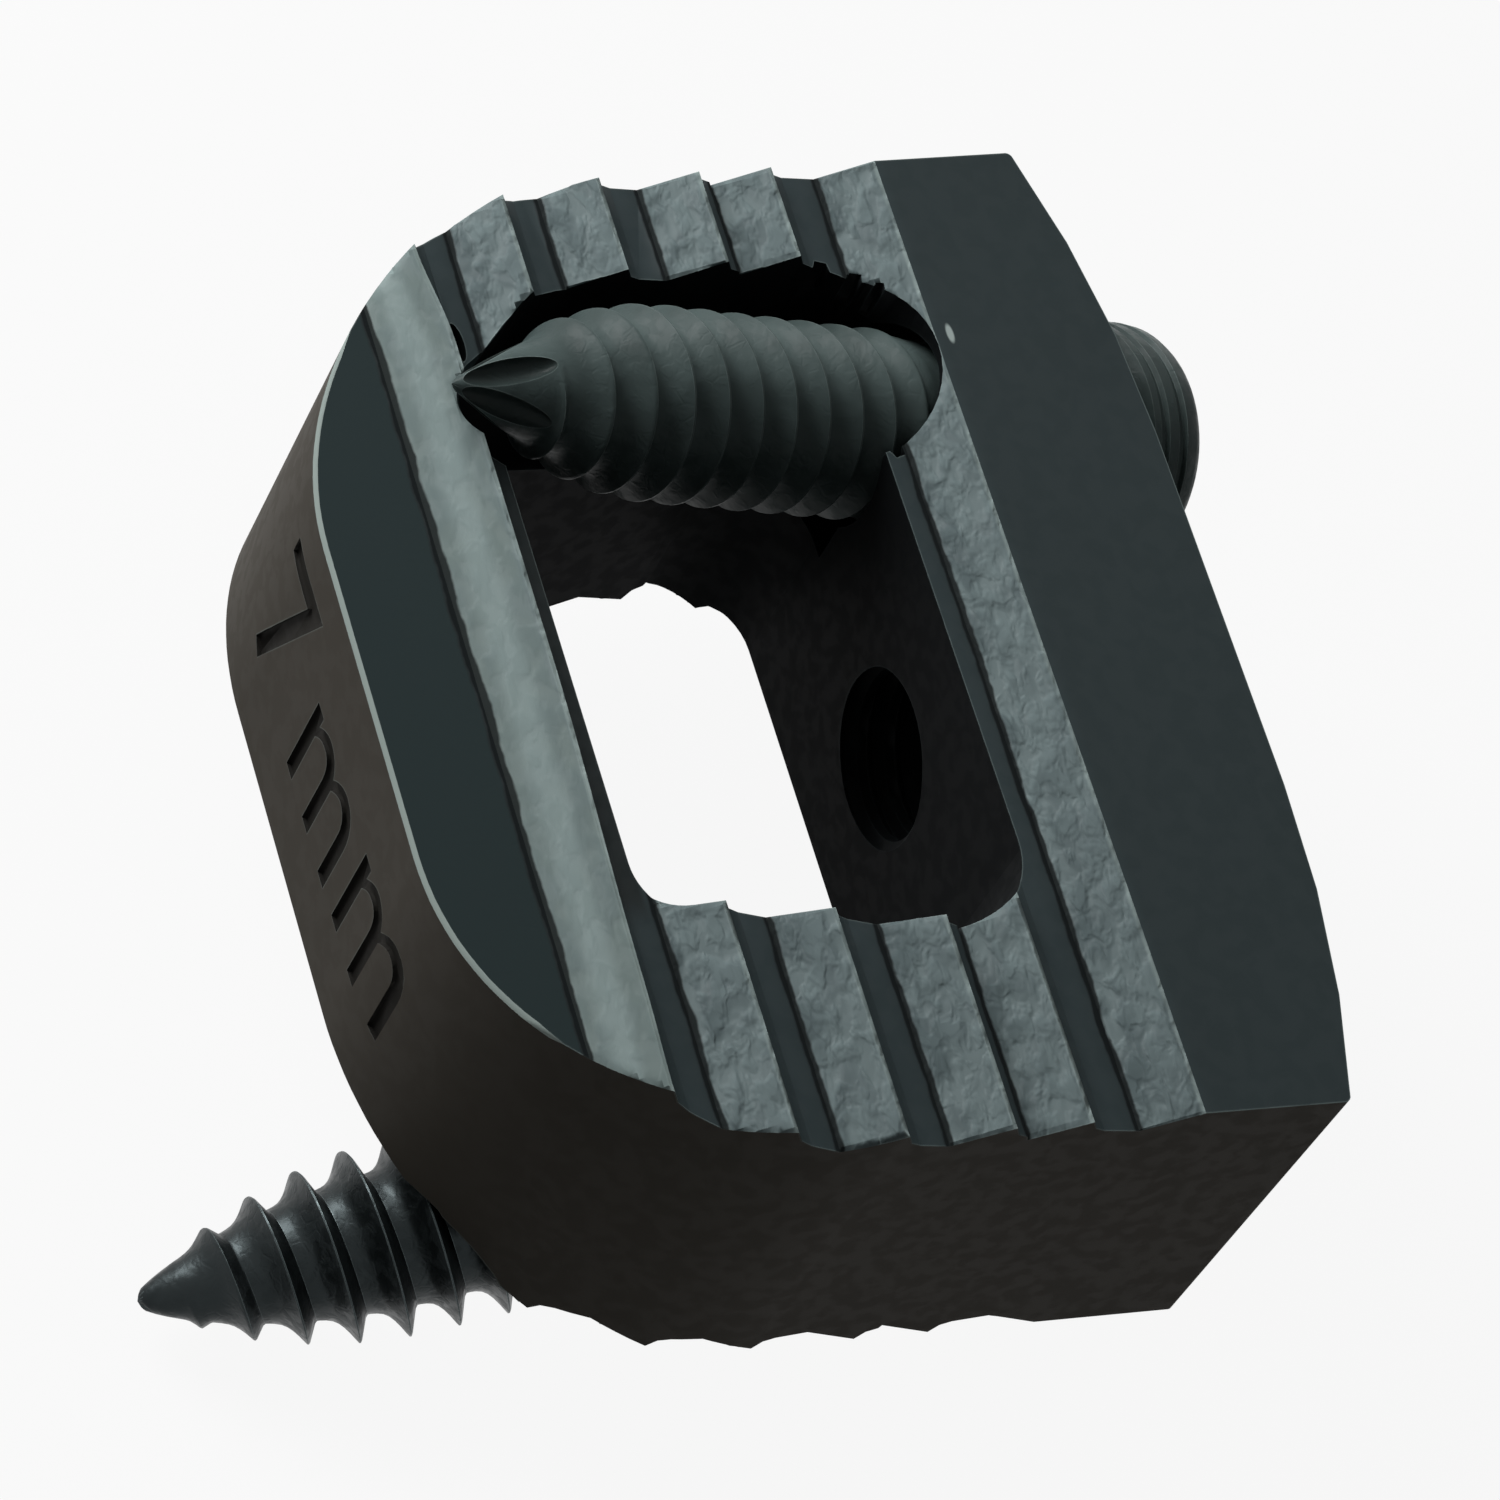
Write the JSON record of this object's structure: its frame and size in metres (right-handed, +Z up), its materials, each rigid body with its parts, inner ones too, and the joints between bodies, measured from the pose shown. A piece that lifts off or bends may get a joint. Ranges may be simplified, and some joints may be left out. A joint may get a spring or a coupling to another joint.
{
  "type": "spinal interbody cage",
  "caption": "Stand-alone interbody cage for the neck: a D-shaped ring with ridged faces, a graft window and slanted bone screws through its front wall.",
  "frame": {"origin": "middle of the cage's front face, half way between its upper and lower faces", "axes": "+X to the patient's left, +Y from the front face to the back of the spine, +Z up, square to the ridged faces"},
  "size_m": [0.0176, 0.0189, 0.011],
  "materials": {
    "cage": "blasted dark titanium",
    "screws": "machined dark titanium"
  },
  "bodies": {
    "root": {"cage_body": "cage", "cranial_screw": "screws", "caudal_screw": "screws"}
  },
  "joints": []
}
